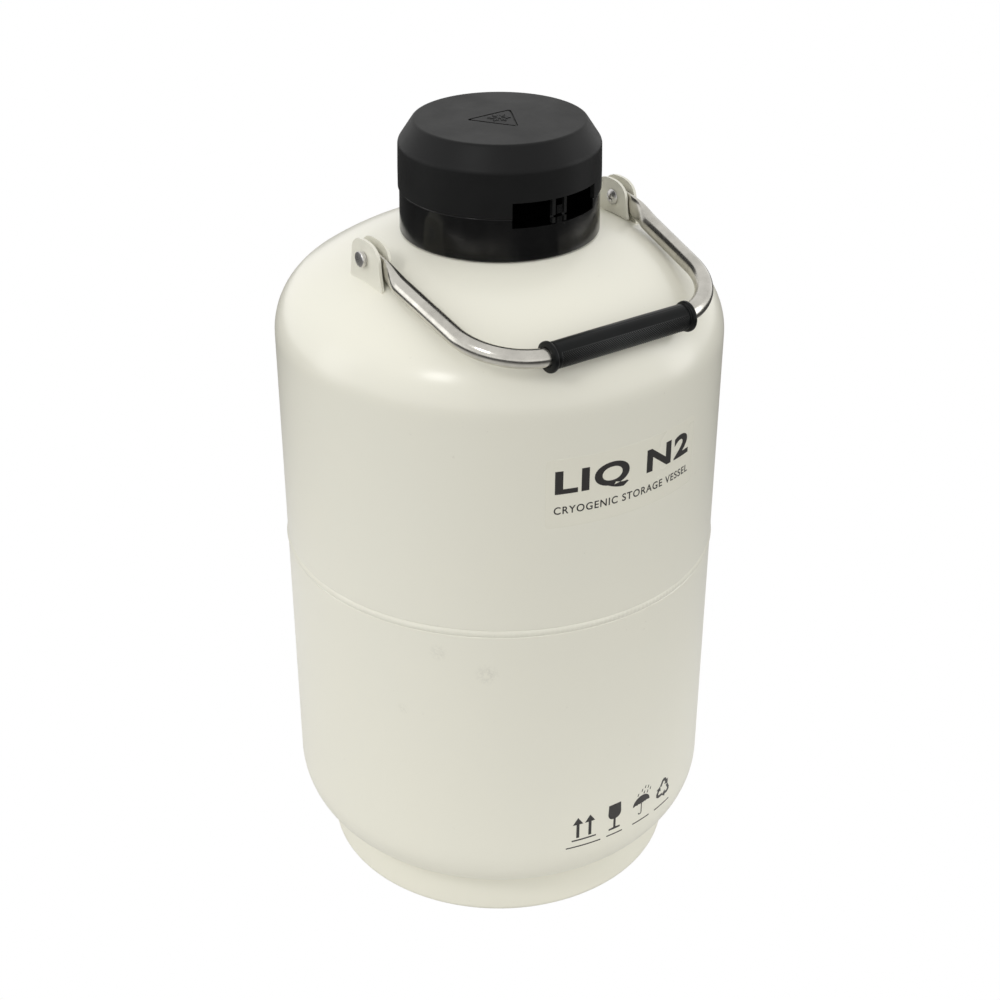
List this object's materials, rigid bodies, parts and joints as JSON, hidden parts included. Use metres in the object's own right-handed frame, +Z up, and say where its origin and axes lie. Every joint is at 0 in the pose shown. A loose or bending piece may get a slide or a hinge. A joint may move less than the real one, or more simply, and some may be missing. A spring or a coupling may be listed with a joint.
{
  "type": "liquid nitrogen dewar",
  "caption": "Portable vacuum-insulated storage dewar with a narrow neck, lift-off lid with foam plug, hinged carrying bail and hanging sample canisters.",
  "frame": {"origin": "centre of the foot ring's underside, where the dewar stands on the floor", "axes": "+Z up along the vessel's axis; +X through the right-hand bail bracket; -Y is the front, where the bail lies and the lid's locking window faces"},
  "size_m": [0.305, 0.305, 0.5555],
  "materials": {
    "cream_paint": "smooth gloss powder coat, cream white",
    "gloss_black": "polished black moulding",
    "matte_black": "satin black moulding",
    "grip_black": "black grip, smooth on top and diamond knurled below",
    "polished_steel": "polished stainless steel",
    "bare_aluminium": "mill finish",
    "fibreglass": "wound glass fibre and epoxy",
    "white_foam": "closed cell foam",
    "foil_blanket": "layers of foil and spacer paper",
    "molecular_sieve": "packed beads"
  },
  "bodies": {
    "vessel": {"outer_shell_upper": "cream_paint", "outer_shell_lower": "cream_paint", "girth_weld_bead": "cream_paint", "foot_ring": "cream_paint", "bracket_left": "cream_paint", "bracket_right": "cream_paint", "vacuum_port_body": "bare_aluminium", "vacuum_plug": "bare_aluminium", "vacuum_port_cover": "matte_black", "neck_flange": "bare_aluminium", "neck_tube": "fibreglass", "inner_neck_flange": "bare_aluminium", "inner_vessel_upper": "bare_aluminium", "inner_vessel_lower": "bare_aluminium", "insulation_blanket": "foil_blanket", "adsorbent_tray": "bare_aluminium", "adsorbent_pack": "molecular_sieve", "canister_spider": "bare_aluminium", "index_ring": "matte_black", "neck_collar": "gloss_black", "pivot_post_left": "polished_steel", "pivot_post_right": "polished_steel", "pivot_screw_left": "polished_steel", "pivot_screw_right": "polished_steel", "pivot_washer_left": "polished_steel", "pivot_washer_right": "polished_steel", "collar_stud_1": "bare_aluminium", "collar_nut_1": "polished_steel", "collar_stud_2": "bare_aluminium", "collar_nut_2": "polished_steel", "collar_stud_3": "bare_aluminium", "collar_nut_3": "polished_steel"},
    "bail": {"bail_tube": "polished_steel", "grip": "grip_black"},
    "lid": {"lid_shell": "matte_black", "plug_flange": "matte_black", "neck_plug": "white_foam"},
    "canister_1": {"canister_1_bucket": "bare_aluminium", "canister_1_rod": "polished_steel"},
    "canister_2": {"canister_2_bucket": "bare_aluminium", "canister_2_rod": "polished_steel"},
    "canister_3": {"canister_3_bucket": "bare_aluminium", "canister_3_rod": "polished_steel"},
    "canister_4": {"canister_4_bucket": "bare_aluminium", "canister_4_rod": "polished_steel"},
    "canister_5": {"canister_5_bucket": "bare_aluminium", "canister_5_rod": "polished_steel"},
    "canister_6": {"canister_6_bucket": "bare_aluminium", "canister_6_rod": "polished_steel"}
  },
  "joints": [
    {"name": "bail_swing", "type": "hinge", "parent": "vessel", "child": "bail", "pos_m": [0, 0, 0.4825], "axis": [-1, 0, 0], "range_deg": [0, 201.5]},
    {"name": "lid_lift", "type": "slide", "parent": "vessel", "child": "lid", "axis": [0, 0, 1], "range_m": [0, 0.2]},
    {"name": "canister_1_lift", "type": "slide", "parent": "vessel", "child": "canister_1", "axis": [0, 0, 1], "range_m": [0, 0.035]},
    {"name": "canister_2_lift", "type": "slide", "parent": "vessel", "child": "canister_2", "axis": [0, 0, 1], "range_m": [0, 0.035]},
    {"name": "canister_3_lift", "type": "slide", "parent": "vessel", "child": "canister_3", "axis": [0, 0, 1], "range_m": [0, 0.035]},
    {"name": "canister_4_lift", "type": "slide", "parent": "vessel", "child": "canister_4", "axis": [0, 0, 1], "range_m": [0, 0.035]},
    {"name": "canister_5_lift", "type": "slide", "parent": "vessel", "child": "canister_5", "axis": [0, 0, 1], "range_m": [0, 0.035]},
    {"name": "canister_6_lift", "type": "slide", "parent": "vessel", "child": "canister_6", "axis": [0, 0, 1], "range_m": [0, 0.035]}
  ]
}
